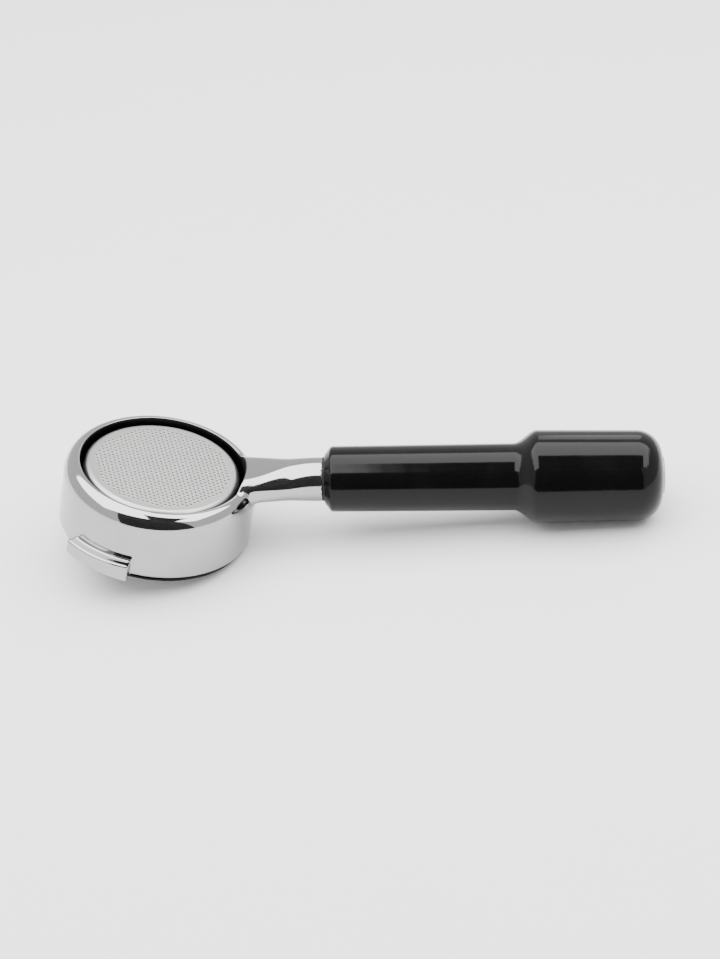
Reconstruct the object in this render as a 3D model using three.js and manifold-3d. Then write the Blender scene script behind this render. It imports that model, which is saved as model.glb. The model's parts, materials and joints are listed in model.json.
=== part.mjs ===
// Bottomless portafilter for a 58 mm espresso group, standing upside down as it is laid on a table.
//
// Units are millimetres, +Z is up. The holder rests on the rim of its filter basket and leans over
// until the thick end of the grip touches the table too.
//
// Three frames are nested. The holder's own frame has Z along the cup's axis, with z = 0 on the face
// of the basket flange that seals against the group, and X towards the grip. The handle's frame shares
// that origin height at HANDLE_RISE and has its Z along the grip. The outermost frame is the table's.

import * as THREE from 'three';
import { mergeVertices } from 'three/addons/utils/BufferGeometryUtils.js';
import Module from 'manifold-3d';

const wasm = await Module();
wasm.setup();

// Driving dimensions -----------------------------------------------------------------------------

const GAP = 0.3;                          // clearance left between pieces that touch
const ROUND_SIDES = 72;                   // facets round the cup
const BASKET_SIDES = 48;                  // facets round the basket
const SLIM_SIDES = 48;                    // facets round the neck and the grip
const SMALL_SIDES = 24;                   // facets round the bolt, washers and cap

const CUP_RADIUS = 35.7;                  // outer wall of the holder
const CUP_TOP = 27.8;                     // lip round the open bottom of the holder
const RIM_HEIGHT = 1.3;                   // rim that the basket flange lies against
const RIM_CHAMFER = 0.8;
const BORE_LEAD_IN = 0.6;                 // chamfer inside the rim
const SHOULDER_RADIUS = 4.2;              // rounding between the wall and the lip
const BORE_RADIUS = 30.3;
const MOUTH_RADIUS = 30.0;                // the bore closes in slightly at the lip
const MOUTH_DEPTH = 2.0;
const GROOVE_RADIUS = 31.6;               // groove for the retaining spring
const GROOVE_HEIGHT = 7.7;
const GROOVE_WIDTH = 2.2;

const LUG_RADIUS = 39.5;                  // over the bayonet lugs
const LUG_ROOT = 33.0;                    // how deep a lug is buried in the wall
const LUG_ARC = THREE.MathUtils.degToRad(40);
const LUG_CENTRE = THREE.MathUtils.degToRad(-121);
const LUG_TOP = 7.3;                      // height of the ramp at the lug's middle
const LUG_SLOPE = THREE.MathUtils.degToRad(2.9);
const LUG_FILLET = 0.8;                   // between the ramp and the cup's wall

const FLANGE_RADIUS = 34.1;               // rim of the filter basket
const FLANGE_THICKNESS = 1.0;
const SHEET = 0.8;                        // thickness of the basket's wall and floor
const BASKET_MOUTH_RADIUS = 29.6;         // outside of the basket's wall, at the flange
const BASKET_FLOOR_RADIUS = 28.5;         // outside of the wall, at the floor
const BASKET_HEIGHT = 26.58;
const BASKET_CORNER = 2.2;
const BEAD_DEPTH = 0.5;                   // waist that the retaining spring snaps into
const BEAD_WIDTH = 1.6;
const BEAD_FLARE = 1.0;                   // height of the slope on either side of the waist

const SPRING_RADIUS = 30.45;              // middle of the spring's wire
const SPRING_WIRE = 0.7;                  // radius of the wire
const SPRING_ARC = THREE.MathUtils.degToRad(318);
const SPRING_STEPS = 54;

const HANDLE_RISE = 20.3;                 // where the handle's axis crosses the cup's axis
const HANDLE_ANGLE = THREE.MathUtils.degToRad(10.4);
const NECK_START = 25.0;
const NECK_END = 59.8;
const NECK_RADIUS = 8.1;                  // round end of the neck, at the grip
const NECK_ROOT_WIDTH = 11.0;             // half width of the neck where it leaves the cup
const NECK_ROOT_HEIGHT = 5.0;             // half height there
const NECK_ROOT_POWER = 3.6;              // squareness there: 2 would be an ellipse
const NECK_SPREAD_START = CUP_RADIUS - 2;
const NECK_SPREAD_END = NECK_END - 4;
const SPIGOT_RADIUS = 5.6;
const SPIGOT_END = 70.0;
const SPIGOT_CHAMFER = 0.8;
const TAPPED_RADIUS = 4.3;
const TAPPED_START = 46.0;

const GASKET_RADIUS = 8.2;
const GASKET_THICKNESS = 0.8;
const GRIP_START = 61.3;
const GRIP_END = 183.9;
const GRIP_FACE_RADIUS = 9.0;             // flat front face of the grip
const GRIP_NOSE = 2.4;                    // depth of the chamfer round that face
const GRIP_NOSE_EDGE = 0.6;               // small bevel where the chamfer meets the side
const GRIP_SLIM_START_RADIUS = 11.9;
const GRIP_SLIM_END_RADIUS = 12.15;
const GRIP_THICK_RADIUS = 17.15;
const GRIP_TAIL_RADIUS = 16.65;
const GRIP_SLIM_END = 129.6;
const GRIP_THICK_START = 139.6;
const GRIP_TAIL = 174.5;                  // where the rounding of the back end begins
const GRIP_BACK_RADIUS = 7.6;             // flat left round the end cap
const SOCKET_RADIUS = 6.0;                // front hole, over the neck's spigot
const SOCKET_END = 72.0;
const BOLT_HOLE_RADIUS = 4.6;
const COUNTERBORE_RADIUS = 7.15;          // back hole, for the bolt head and the cap
const COUNTERBORE_START = 146.0;

const BOLT_RADIUS = 4.0;
const BOLT_START = 48.5;
const BOLT_HEAD_RADIUS = 6.5;
const BOLT_HEAD_LENGTH = 8.0;
const BOLT_HEAD_CHAMFER = 0.5;
const BOLT_POINT_CHAMFER = 0.6;
const HEX_KEY = 3.46;                     // corner radius of the 6 mm hexagon socket
const HEX_DEPTH = 4.0;
const WASHER_RADIUS = 6.7;
const WASHER_THICKNESS = 1.2;
const LOCK_RADIUS = 6.4;
const LOCK_THICKNESS = 1.6;
const LOCK_SPLIT = THREE.MathUtils.degToRad(16);

const CAP_RADIUS = 6.85;
const CAP_PROUD = 0.8;                    // how far the cap stands out of the grip
const CAP_HEAD = 2.8;
const CAP_PLUG_RADIUS = 6.2;
const CAP_PLUG_LENGTH = 8.0;
const CAP_CHAMFER = 0.5;

// Finishes ---------------------------------------------------------------------------------------

const finish = (color, roughness, metalness) => () =>
  new THREE.MeshStandardMaterial({ color, roughness, metalness });

const chromePlate = finish(0xd8d9dc, 0.06, 1.0);
const basketSteel = finish(0xc8c8c6, 0.3, 1.0);
const springSteel = finish(0xa9abad, 0.28, 1.0);
const blackRubber = finish(0x141414, 0.7, 0.0);
const blackPhenolic = finish(0x17171a, 0.22, 0.0);
const zincSteel = finish(0xb5b8ba, 0.4, 1.0);
const greyCap = finish(0xb9b6ae, 0.45, 0.2);

// Shape helpers ----------------------------------------------------------------------------------

// Points of a circular arc in a (radius, height) profile, both ends included.
function arc(centreX, centreY, radiusX, radiusY, from, to, steps) {
  const points = [];
  for (let i = 0; i <= steps; i += 1) {
    const angle = THREE.MathUtils.degToRad(THREE.MathUtils.lerp(from, to, i / steps));
    points.push([centreX + radiusX * Math.cos(angle), centreY + radiusY * Math.sin(angle)]);
  }
  return points;
}

// A (radius, height) profile turned about Z, with a facet centred on +X.
function turned(profile, sides) {
  const points = profile.map(([radius, height]) => new THREE.Vector2(radius, height));
  const geometry = new THREE.LatheGeometry(points, sides, Math.PI / sides);
  return geometry.rotateX(Math.PI / 2);
}

// A ring profile that closes on itself.
function turnedRing(profile, sides) {
  return turned([...profile, profile[0]], sides);
}

// A closed mesh with shared vertices, as a solid that can be joined and cut.
function solidOf(geometry) {
  const bare = geometry.clone();
  bare.deleteAttribute('normal');
  bare.deleteAttribute('uv');
  const welded = mergeVertices(bare, 1e-4);
  return new wasm.Manifold(new wasm.Mesh({
    numProp: 3,
    vertProperties: new Float32Array(welded.attributes.position.array),
    triVerts: new Uint32Array(welded.index.array),
  }));
}

function geometryOf(solid) {
  const mesh = solid.getMesh();
  const geometry = new THREE.BufferGeometry();
  geometry.setAttribute('position', new THREE.BufferAttribute(mesh.vertProperties, 3));
  geometry.setIndex(new THREE.BufferAttribute(mesh.triVerts, 1));
  return geometry;
}

function part(name, geometry, material) {
  const mesh = new THREE.Mesh(geometry, material());
  mesh.name = name;
  return mesh;
}

// The handle's frame lies along its own Z; this turns a geometry of it into the holder's frame.
function alongHandle(geometry) {
  return geometry
    .rotateY(Math.PI / 2 - HANDLE_ANGLE)
    .translate(0, 0, HANDLE_RISE);
}

// Holder body: cup, lugs, neck and spigot, one casting --------------------------------------------

function cupBlank() {
  const shoulderStart = CUP_TOP - SHOULDER_RADIUS;
  return solidOf(turned([
    [0, RIM_HEIGHT],
    [CUP_RADIUS - RIM_CHAMFER, RIM_HEIGHT],
    [CUP_RADIUS, RIM_HEIGHT + RIM_CHAMFER],
    ...arc(CUP_RADIUS - SHOULDER_RADIUS, shoulderStart, SHOULDER_RADIUS, SHOULDER_RADIUS, 0, 90, 6),
    [0, CUP_TOP],
  ], ROUND_SIDES));
}

// Everything inside the cup, with the groove for the spring, reaching well past both ends.
function cupBore() {
  const grooveLow = GROOVE_HEIGHT - GROOVE_WIDTH / 2;
  const grooveHigh = GROOVE_HEIGHT + GROOVE_WIDTH / 2;
  return solidOf(turned([
    [0, -CUP_TOP],
    [BORE_RADIUS + BORE_LEAD_IN, -CUP_TOP],
    [BORE_RADIUS + BORE_LEAD_IN, RIM_HEIGHT],
    [BORE_RADIUS, RIM_HEIGHT + BORE_LEAD_IN],
    [BORE_RADIUS, grooveLow],
    [GROOVE_RADIUS, grooveLow],
    [GROOVE_RADIUS, grooveHigh],
    [BORE_RADIUS, grooveHigh],
    [BORE_RADIUS, CUP_TOP - MOUTH_DEPTH],
    [MOUTH_RADIUS, CUP_TOP - MOUTH_DEPTH + BORE_RADIUS - MOUTH_RADIUS],
    [MOUTH_RADIUS, 2 * CUP_TOP],
    [0, 2 * CUP_TOP],
  ], ROUND_SIDES));
}

// A sector of a ring, centred on +X and standing on z = 0.
function sector(inner, outer, height) {
  const outline = new THREE.Shape();
  outline.absarc(0, 0, outer, -LUG_ARC / 2, LUG_ARC / 2, false);
  outline.absarc(0, 0, inner, LUG_ARC / 2, -LUG_ARC / 2, true);
  return new THREE.ExtrudeGeometry(outline, {
    depth: height, bevelEnabled: false, curveSegments: 10,
  });
}

// A lug is a sector of a ring with its upper face cut to a gentle ramp.
function lug(centre) {
  const blank = sector(LUG_ROOT, LUG_RADIUS, 2 * LUG_TOP);
  blank.translate(0, 0, RIM_HEIGHT);
  const cutterSize = 3 * LUG_TOP;
  const cutter = new THREE.BoxGeometry(cutterSize, 2 * LUG_RADIUS, cutterSize);
  cutter.translate(0, 0, cutterSize / 2);
  cutter.rotateX(LUG_SLOPE);
  cutter.translate(LUG_RADIUS, 0, LUG_TOP);
  return solidOf(blank.rotateZ(centre)).subtract(solidOf(cutter.rotateZ(centre)));
}

// The bevel between a lug's ramp and the wall: a cone that follows the ramp's slope, kept to the
// lug's sector. It runs on into the wall, so that no thin edge is left.
function lugFillet(centre) {
  const foot = CUP_RADIUS + LUG_FILLET;
  const buried = foot - LUG_ROOT;
  const cone = turnedRing([
    [LUG_ROOT, LUG_TOP - LUG_FILLET],
    [foot, LUG_TOP - LUG_FILLET],
    [foot, LUG_TOP],
    [LUG_ROOT, LUG_TOP + buried],
  ], ROUND_SIDES);
  const position = cone.attributes.position;
  for (let i = 0; i < position.count; i += 1) {
    position.setZ(i, position.getZ(i) + position.getY(i) * Math.tan(LUG_SLOPE));
  }
  const keep = sector(LUG_ROOT, LUG_RADIUS, CUP_TOP);
  return solidOf(cone.rotateZ(centre)).intersect(solidOf(keep.rotateZ(centre)));
}

// The neck is round at the grip and spreads into a flat, wide root at the cup. Each section is a
// superellipse: a circle has the exponent 2, the root's rounded box has 3.6.
function neck() {
  const steps = 14;                       // sections along the neck
  const profile = [[0, NECK_START]];
  for (let i = 0; i <= steps; i += 1) {
    profile.push([1, THREE.MathUtils.lerp(NECK_START, NECK_END, i / steps)]);
  }
  profile.push([0, NECK_END]);
  const geometry = turned(profile, SLIM_SIDES);
  const position = geometry.attributes.position;
  for (let i = 0; i < position.count; i += 1) {
    const along = position.getZ(i);
    const spread = 1 - THREE.MathUtils.smoothstep(along, NECK_SPREAD_START, NECK_SPREAD_END);
    const halfHeight = THREE.MathUtils.lerp(NECK_RADIUS, NECK_ROOT_HEIGHT, spread);
    const halfWidth = THREE.MathUtils.lerp(NECK_RADIUS, NECK_ROOT_WIDTH, spread);
    const power = 2 / THREE.MathUtils.lerp(2, NECK_ROOT_POWER, spread);
    const x = position.getX(i);
    const y = position.getY(i);
    position.setX(i, Math.sign(x) * Math.abs(x) ** power * halfHeight);
    position.setY(i, Math.sign(y) * Math.abs(y) ** power * halfWidth);
  }
  return solidOf(alongHandle(geometry));
}

function spigot() {
  return solidOf(alongHandle(turned([
    [0, NECK_END - SPIGOT_RADIUS],
    [SPIGOT_RADIUS, NECK_END - SPIGOT_RADIUS],
    [SPIGOT_RADIUS, SPIGOT_END - SPIGOT_CHAMFER],
    [SPIGOT_RADIUS - SPIGOT_CHAMFER, SPIGOT_END],
    [0, SPIGOT_END],
  ], SMALL_SIDES)));
}

function tappedHole() {
  return solidOf(alongHandle(turned([
    [0, TAPPED_START - TAPPED_RADIUS / 2],
    [TAPPED_RADIUS, TAPPED_START],
    [TAPPED_RADIUS, SPIGOT_END + TAPPED_RADIUS],
    [0, SPIGOT_END + TAPPED_RADIUS],
  ], SMALL_SIDES)));
}

function holderBody() {
  const body = cupBlank()
    .add(lug(LUG_CENTRE))
    .add(lugFillet(LUG_CENTRE))
    .add(lug(LUG_CENTRE + Math.PI))
    .add(lugFillet(LUG_CENTRE + Math.PI))
    .add(neck())
    .add(spigot())
    .subtract(cupBore())
    .subtract(tappedHole());
  return geometryOf(body);
}

// Filter basket: an upturned cup of sheet, with a flat flange and a waist for the spring ---------

function filterBasket() {
  const cornerHeight = BASKET_HEIGHT - BASKET_CORNER;
  const cornerRadius = BASKET_FLOOR_RADIUS - BASKET_CORNER;
  const waistLow = GROOVE_HEIGHT - BEAD_WIDTH / 2;
  const waistHigh = GROOVE_HEIGHT + BEAD_WIDTH / 2;
  const waist = BASKET_MOUTH_RADIUS - BEAD_DEPTH;
  const innerCorner = BASKET_CORNER - SHEET;
  return turned([
    [0, BASKET_HEIGHT - SHEET],
    ...arc(cornerRadius, cornerHeight, innerCorner, innerCorner, 90, 0, 3),
    [BASKET_MOUTH_RADIUS - SHEET, waistHigh + BEAD_FLARE],
    [waist - SHEET, waistHigh],
    [waist - SHEET, waistLow],
    [BASKET_MOUTH_RADIUS - SHEET, waistLow - BEAD_FLARE],
    [BASKET_MOUTH_RADIUS - SHEET, 0],
    [FLANGE_RADIUS, 0],
    [FLANGE_RADIUS, FLANGE_THICKNESS],
    [BASKET_MOUTH_RADIUS, FLANGE_THICKNESS],
    [BASKET_MOUTH_RADIUS, waistLow - BEAD_FLARE],
    [waist, waistLow],
    [waist, waistHigh],
    [BASKET_MOUTH_RADIUS, waistHigh + BEAD_FLARE],
    ...arc(cornerRadius, cornerHeight, BASKET_CORNER, BASKET_CORNER, 0, 90, 4),
    [0, BASKET_HEIGHT],
  ], BASKET_SIDES);
}

// Retaining spring: a round wire bent to an open ring ---------------------------------------------

class OpenRing extends THREE.Curve {
  getPoint(t, target = new THREE.Vector3()) {
    const angle = Math.PI - SPRING_ARC / 2 + SPRING_ARC * t;
    return target.set(
      SPRING_RADIUS * Math.cos(angle),
      SPRING_RADIUS * Math.sin(angle),
      GROOVE_HEIGHT,
    );
  }
}

function basketSpring() {
  const wire = new THREE.Shape();
  wire.absarc(0, 0, SPRING_WIRE, 0, 2 * Math.PI, false);
  return new THREE.ExtrudeGeometry(wire, {
    steps: SPRING_STEPS, bevelEnabled: false, curveSegments: 4, extrudePath: new OpenRing(),
  });
}

// Handle pieces, each along its own Z -------------------------------------------------------------

function neckGasket() {
  const low = NECK_END + GAP;
  const high = low + GASKET_THICKNESS;
  return turnedRing([
    [SPIGOT_RADIUS + GAP, low],
    [GASKET_RADIUS, low],
    [GASKET_RADIUS, high],
    [SPIGOT_RADIUS + GAP, high],
  ], SMALL_SIDES);
}

function grip() {
  const swell = [];
  const swellSteps = 8;
  for (let i = 0; i <= swellSteps; i += 1) {
    const t = i / swellSteps;
    const rise = THREE.MathUtils.smoothstep(t, 0, 1);
    swell.push([
      THREE.MathUtils.lerp(GRIP_SLIM_END_RADIUS, GRIP_THICK_RADIUS, rise),
      THREE.MathUtils.lerp(GRIP_SLIM_END, GRIP_THICK_START, t),
    ]);
  }
  return turnedRing([
    [GRIP_FACE_RADIUS, GRIP_START],
    [GRIP_SLIM_START_RADIUS - GRIP_NOSE_EDGE, GRIP_START + GRIP_NOSE - 1.5 * GRIP_NOSE_EDGE],
    [GRIP_SLIM_START_RADIUS, GRIP_START + GRIP_NOSE],
    ...swell,
    ...arc(
      GRIP_BACK_RADIUS, GRIP_TAIL,
      GRIP_TAIL_RADIUS - GRIP_BACK_RADIUS, GRIP_END - GRIP_TAIL, 0, 90, 7,
    ),
    [COUNTERBORE_RADIUS, GRIP_END],
    [COUNTERBORE_RADIUS, COUNTERBORE_START],
    [BOLT_HOLE_RADIUS, COUNTERBORE_START],
    [BOLT_HOLE_RADIUS, SOCKET_END],
    [SOCKET_RADIUS, SOCKET_END],
    [SOCKET_RADIUS, GRIP_START],
  ], SLIM_SIDES);
}

const WASHER_START = COUNTERBORE_START + GAP;
const LOCK_START = WASHER_START + WASHER_THICKNESS + GAP;
const BOLT_HEAD_START = LOCK_START + LOCK_THICKNESS + GAP;

function tieBolt() {
  const headEnd = BOLT_HEAD_START + BOLT_HEAD_LENGTH;
  const bolt = solidOf(turned([
    [0, BOLT_START],
    [BOLT_RADIUS - BOLT_POINT_CHAMFER, BOLT_START],
    [BOLT_RADIUS, BOLT_START + BOLT_POINT_CHAMFER],
    [BOLT_RADIUS, BOLT_HEAD_START],
    [BOLT_HEAD_RADIUS, BOLT_HEAD_START],
    [BOLT_HEAD_RADIUS, headEnd - BOLT_HEAD_CHAMFER],
    [BOLT_HEAD_RADIUS - BOLT_HEAD_CHAMFER, headEnd],
    [0, headEnd],
  ], SMALL_SIDES));
  const key = solidOf(turned([
    [0, headEnd - HEX_DEPTH],
    [HEX_KEY, headEnd - HEX_DEPTH],
    [HEX_KEY, headEnd + 1],
    [0, headEnd + 1],
  ], 6));
  return geometryOf(bolt.subtract(key));
}

function flatWasher() {
  return turnedRing([
    [BOLT_RADIUS + GAP, WASHER_START],
    [WASHER_RADIUS, WASHER_START],
    [WASHER_RADIUS, WASHER_START + WASHER_THICKNESS],
    [BOLT_RADIUS + GAP, WASHER_START + WASHER_THICKNESS],
  ], SMALL_SIDES);
}

function lockWasher() {
  const outline = new THREE.Shape();
  const first = LOCK_SPLIT / 2;
  const last = 2 * Math.PI - LOCK_SPLIT / 2;
  outline.absarc(0, 0, LOCK_RADIUS, first, last, false);
  outline.absarc(0, 0, BOLT_RADIUS + GAP, last, first, true);
  const geometry = new THREE.ExtrudeGeometry(outline, {
    depth: LOCK_THICKNESS, bevelEnabled: false, curveSegments: SMALL_SIDES,
  });
  return geometry.translate(0, 0, LOCK_START);
}

function endCap() {
  const top = GRIP_END + CAP_PROUD;
  return turned([
    [0, top - CAP_HEAD - CAP_PLUG_LENGTH],
    [CAP_PLUG_RADIUS, top - CAP_HEAD - CAP_PLUG_LENGTH],
    [CAP_PLUG_RADIUS, top - CAP_HEAD],
    [CAP_RADIUS, top - CAP_HEAD],
    [CAP_RADIUS, top - CAP_CHAMFER],
    [CAP_RADIUS - CAP_CHAMFER, top],
    [0, top],
  ], SMALL_SIDES);
}

// Assembly ----------------------------------------------------------------------------------------

const handle = new THREE.Group();
handle.rotation.y = Math.PI / 2 - HANDLE_ANGLE;
handle.position.z = HANDLE_RISE;
handle.add(
  part('neck_gasket', neckGasket(), blackRubber),
  part('handle_grip', grip(), blackPhenolic),
  part('tie_bolt', tieBolt(), zincSteel),
  part('flat_washer', flatWasher(), zincSteel),
  part('lock_washer', lockWasher(), springSteel),
  part('end_cap', endCap(), greyCap),
);

const holder = new THREE.Group();
holder.add(
  part('holder_body', holderBody(), chromePlate),
  part('basket_spring', basketSpring(), springSteel),
  part('filter_basket', filterBasket(), basketSteel),
  handle,
);

// The holder leans about the edge of the basket flange until the grip's underside meets the table.
// The lean is the smallest angle, seen from that edge, of any point along the grip's underside.
function leanAngle() {
  const cos = Math.cos(HANDLE_ANGLE);
  const sin = Math.sin(HANDLE_ANGLE);
  const edge = FLANGE_RADIUS * Math.cos(Math.PI / BASKET_SIDES);
  const flat = Math.cos(Math.PI / SLIM_SIDES);
  const underside = [
    [GRIP_THICK_RADIUS, GRIP_THICK_START],
    ...arc(
      GRIP_BACK_RADIUS, GRIP_TAIL,
      GRIP_TAIL_RADIUS - GRIP_BACK_RADIUS, GRIP_END - GRIP_TAIL, 0, 90, 7,
    ),
  ];
  const angles = underside.map(([radius, along]) => {
    const x = along * cos + radius * flat * sin;
    const z = HANDLE_RISE + along * sin - radius * flat * cos;
    return Math.atan2(z, x - edge);
  });
  return Math.min(...angles);
}

holder.rotation.y = leanAngle();

const portafilter = new THREE.Group();
portafilter.add(holder);
portafilter.updateMatrixWorld(true);

// The origin is under the middle of the whole object, on the table.
const extent = new THREE.Box3().setFromObject(portafilter, true);
const middle = extent.getCenter(new THREE.Vector3());
holder.position.set(-middle.x, -middle.y, -extent.min.z);

export default portafilter;
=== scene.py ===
import json
import math

import bpy
import numpy as np
from bpy.props import FloatProperty, FloatVectorProperty, PointerProperty
from mathutils import Matrix, Vector
from mathutils.geometry import delaunay_2d_cdt


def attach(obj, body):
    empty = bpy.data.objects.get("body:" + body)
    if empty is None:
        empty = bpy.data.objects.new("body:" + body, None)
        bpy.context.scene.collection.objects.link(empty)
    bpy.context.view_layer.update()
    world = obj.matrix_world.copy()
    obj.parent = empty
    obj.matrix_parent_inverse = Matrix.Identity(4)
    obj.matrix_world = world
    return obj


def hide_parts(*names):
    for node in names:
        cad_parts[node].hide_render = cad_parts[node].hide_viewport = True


bl_info = {
    "name": "Bottomless portafilter",
    "version": (1, 0, 0),
    "blender": (4, 5, 0),
    "location": "View3D > Sidebar > Portafilter",
    "description": "Builds the fine surfaces and finishes of a portafilter round its packed frame",
    "category": "Add Mesh",
}

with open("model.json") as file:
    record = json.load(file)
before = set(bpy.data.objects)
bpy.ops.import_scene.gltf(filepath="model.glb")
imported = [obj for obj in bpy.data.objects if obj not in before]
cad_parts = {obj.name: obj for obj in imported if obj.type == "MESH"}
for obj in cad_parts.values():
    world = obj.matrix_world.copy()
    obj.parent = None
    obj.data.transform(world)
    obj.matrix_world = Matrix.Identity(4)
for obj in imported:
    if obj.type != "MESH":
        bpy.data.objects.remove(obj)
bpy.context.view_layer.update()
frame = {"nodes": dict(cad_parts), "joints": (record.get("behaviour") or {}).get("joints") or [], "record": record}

MM = 0.001
DEG = math.pi / 180


# Sizes and colours


def length(name, description, millimetres):
    """A length property, given in millimetres and kept in metres."""
    return FloatProperty(name=name, description=description, default=millimetres * MM,
                         subtype="DISTANCE", unit="LENGTH", precision=5)


def angle(name, description, degrees):
    """An angle property, given in degrees and kept in radians."""
    return FloatProperty(name=name, description=description, default=degrees * DEG,
                         subtype="ANGLE", unit="ROTATION")


def colour(name, description, red, green, blue):
    """A linear colour property."""
    return FloatVectorProperty(name=name, description=description, default=(red, green, blue),
                               min=0.0, max=1.0, subtype="COLOR")


class PortafilterHolderSizes(bpy.types.PropertyGroup):
    """The plated casting: cup, lugs, neck and spigot."""

    cup_radius: length("Cup radius", "Outer wall of the cup", 35.7)
    cup_top: length("Cup top", "Lip round the open bottom, above the gasket face", 27.8)
    rim_height: length("Rim height", "Rim that the basket's flange lies against", 1.3)
    rim_chamfer: length("Rim chamfer", "Bevel between the rim and the wall", 1.6)
    rim_rounding: length("Rim rounding", "Reach of the soft edge at the rim", 0.5)
    shoulder_width: length("Shoulder width", "How far in the rounded upper edge reaches", 5.0)
    shoulder_height: length("Shoulder height", "How far down that edge reaches", 6.5)
    bore_radius: length("Bore radius", "Inside of the cup", 30.3)
    mouth_radius: length("Mouth radius", "Inside of the cup at the lip", 30.35)
    mouth_depth: length("Mouth depth", "Height of the narrower stretch at the lip", 2.0)
    mouth_rounding: length("Mouth rounding", "Reach of the soft edge at the lip", 0.5)
    groove_radius: length("Groove radius", "Bottom of the spring's groove", 31.6)
    groove_height: length("Groove height", "Middle of the spring's groove", 7.7)
    groove_width: length("Groove width", "Width of the spring's groove", 2.2)
    lug_radius: length("Lug radius", "Over the bayonet lugs", 39.5)
    lug_top: length("Lug top", "Height of the ramp at a lug's middle", 7.3)
    lug_edge: length("Lug edge", "Rounding of a lug's edges", 0.8)
    lug_fillet: length("Lug fillet", "Reach of the fillet between a lug and the wall", 1.6)
    lug_arc: angle("Lug arc", "Angle that one lug takes up", 40.0)
    lug_centre: angle("Lug centre", "Direction of the front lug from the handle", -121.0)
    lug_slope: angle("Lug slope", "Slope of the ramp", 2.9)
    neck_end: length("Neck end", "End face of the neck, from the cup's axis", 59.8)
    neck_radius: length("Neck radius", "Round end of the neck", 8.1)
    neck_start: length("Neck start", "Where the neck is cut off, inside the cup", 15.175)
    neck_root_width: length("Neck root width", "Half width at the cup", 11.0)
    neck_root_height: length("Neck root height", "Half height at the cup", 5.0)
    neck_spread_start: length("Neck spread start", "Where the neck starts to turn round", 29.7)
    neck_spread_end: length("Neck spread end", "Where the neck is as wide as it is high", 57.8)
    neck_flat_start: length("Neck flat start", "Where the neck's section is squarest", 27.7)
    neck_flat_end: length("Neck flat end", "Where the neck's section is an ellipse", 49.0)
    neck_root_power: FloatProperty(
        name="Neck root power", default=3.6,
        description="Exponent of the neck's section at the cup, 2 for an ellipse",
    )
    neck_fillet: length("Neck fillet", "Reach of the fillet between the neck and the cup", 4.0)
    spigot_radius: length("Spigot radius", "Spigot that enters the grip", 5.6)
    spigot_end: length("Spigot end", "End of the spigot, from the cup's axis", 70.0)
    tapped_radius: length("Tapped radius", "Hole for the tie bolt", 4.3)
    tapped_start: length("Tapped start", "Blind end of that hole", 46.0)
    mesh_step: length("Mesh step", "Spacing of the casting's surface points", 0.5)


class PortafilterBasketSizes(bpy.types.PropertyGroup):
    """The sheet-steel basket and the spring that holds it."""

    flange_radius: length("Flange radius", "Rim of the basket", 34.1)
    flange_thickness: length("Flange thickness", "Rolled edge of the rim", 1.0)
    sheet: length("Sheet", "Thickness of the wall and the floor", 0.8)
    mouth_radius: length("Mouth radius", "Outside of the wall at the flange", 29.6)
    floor_radius: length("Floor radius", "Outside of the wall at the floor", 28.5)
    height: length("Height", "Outer face of the floor above the gasket face", 26.58)
    corner: length("Corner", "Rounding between the wall and the floor", 2.2)
    bead_depth: length("Bead depth", "Depth of the waist for the spring", 0.5)
    hole_pitch: length("Hole pitch", "Distance from hole to hole", 1.79)
    hole_field: length("Hole field", "Radius of the perforated part", 24.8)
    hole_radius: length("Hole radius", "Radius of a hole at the outer face", 0.4)
    burr_radius: length("Burr radius", "Foot of the raised edge round a hole", 0.85)
    burr_height: length("Burr height", "How proud that edge stands", 0.16)
    hole_turn: angle("Hole turn", "Direction of the rows of holes", 44.3)
    spring_radius: length("Spring radius", "Middle of the spring's wire", 30.45)
    spring_wire: length("Spring wire", "Radius of the wire", 0.7)
    spring_arc: angle("Spring arc", "How far the wire reaches round", 318.0)


class PortafilterHandleSizes(bpy.types.PropertyGroup):
    """The grip and what is on its axis. Places along it are measured from the cup's axis."""

    rise: length("Rise", "Where the handle's axis crosses the cup's axis", 20.3)
    slope: angle("Slope", "Angle of the handle from the gasket face", 10.4)
    gasket_start: length("Gasket start", "Face of the gasket at the neck", 59.85)
    gasket_end: length("Gasket end", "Face of the gasket at the grip", 60.35)
    gasket_radius: length("Gasket radius", "Outside of the gasket", 8.2)
    spigot_gap: length("Gasket bore", "Inside of the gasket", 5.9)
    start: length("Start", "Front face of the grip", 60.4)
    end: length("End", "Back face of the grip", 183.9)
    face_radius: length("Face radius", "Flat of the front face", 9.0)
    nose: length("Nose", "Length of the chamfer at the front", 2.4)
    slim_start_radius: length("Slim start radius", "Slim part, front", 12.1)
    slim_end_radius: length("Slim end radius", "Slim part, back", 12.35)
    slim_end: length("Slim end", "Where the swell begins", 129.6)
    thick_start: length("Thick start", "Where the swell ends", 138.4)
    thick_radius: length("Thick radius", "Thick part, front", 17.15)
    tail_radius: length("Tail radius", "Thick part, back", 16.65)
    tail: length("Tail", "Where the back rounding begins", 174.5)
    back_radius: length("Back radius", "Flat left round the cap", 7.6)
    socket_radius: length("Socket radius", "Front hole", 6.0)
    socket_end: length("Socket end", "Bottom of the front hole", 72.0)
    bolt_hole: length("Bolt hole", "Radius of the hole for the bolt", 4.6)
    counterbore: length("Counterbore", "Radius of the back hole", 7.15)
    counterbore_start: length("Counterbore start", "Seat of the washers", 146.0)
    cap_radius: length("Cap radius", "Head of the cap", 6.85)
    cap_proud: length("Cap proud", "How far the cap stands out", 0.8)
    cap_head: length("Cap head", "Thickness of the cap's head", 2.8)
    cap_plug: length("Cap plug", "Radius of the cap's plug", 6.2)
    cap_plug_length: length("Cap plug length", "Length of the cap's plug", 8.0)


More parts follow.
